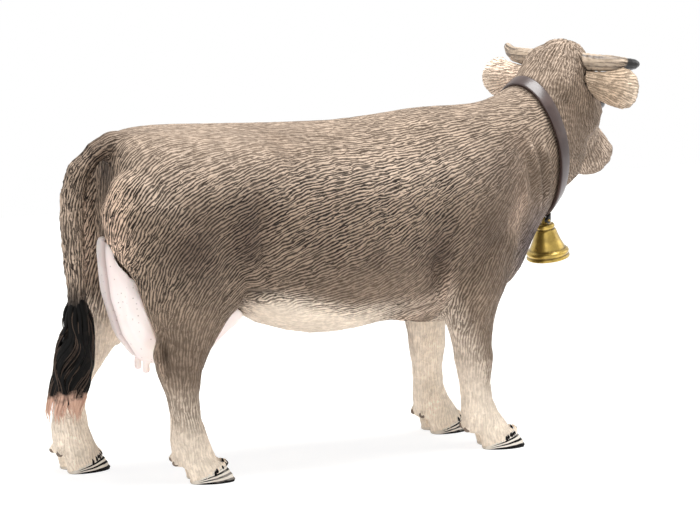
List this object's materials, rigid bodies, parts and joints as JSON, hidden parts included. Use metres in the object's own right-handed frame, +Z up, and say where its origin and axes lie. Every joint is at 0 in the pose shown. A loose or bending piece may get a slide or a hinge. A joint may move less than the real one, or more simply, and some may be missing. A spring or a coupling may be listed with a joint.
{
  "type": "toy cow figure",
  "caption": "Standing toy cow figure with its head turned to the left, made of glued plastic mouldings, wearing a neck strap from which a small bell with a clapper swings.",
  "frame": {"origin": "on the ground, in the middle of the bounding box's base", "axes": "+X the way the animal walks, +Y its left side, +Z up"},
  "size_m": [0.1436, 0.0432, 0.0874],
  "materials": {
    "hide": "moulded hair texture, painted grey-brown, cream on the lower legs, with a dark wash",
    "horn": "satin cream paint with glossy black tips",
    "udder": "satin pale pink paint",
    "strap": "glossy dark brown",
    "hanger": "satin black",
    "pin": "drawn wire",
    "bell": "metallic gold paint with a dark wash"
  },
  "bodies": {
    "figure": {"torso": "hide", "head": "hide", "right_foreleg": "hide", "left_foreleg": "hide", "right_hind_leg": "hide", "left_hind_leg": "hide", "right_ear": "hide", "left_ear": "hide", "tail": "hide", "right_horn": "horn", "left_horn": "horn", "udder": "udder", "collar_strap": "strap", "bell_hanger": "hanger", "hanger_pin": "pin"},
    "bell": {"bell": "bell", "clapper_pin": "pin"},
    "clapper": {"bell_clapper": "bell"}
  },
  "joints": [
    {"name": "bell_swing", "type": "hinge", "parent": "figure", "child": "bell", "pos_m": [0.04803, 0.00183, 0.0476], "axis": [0.2756, -0.9613, 0], "range_deg": [-18, 60]},
    {"name": "clapper_swing", "type": "hinge", "parent": "bell", "child": "clapper", "pos_m": [0.0484, 0.00194, 0.04511], "axis": [0.2756, -0.9613, 0], "range_deg": [-17, 34]}
  ]
}
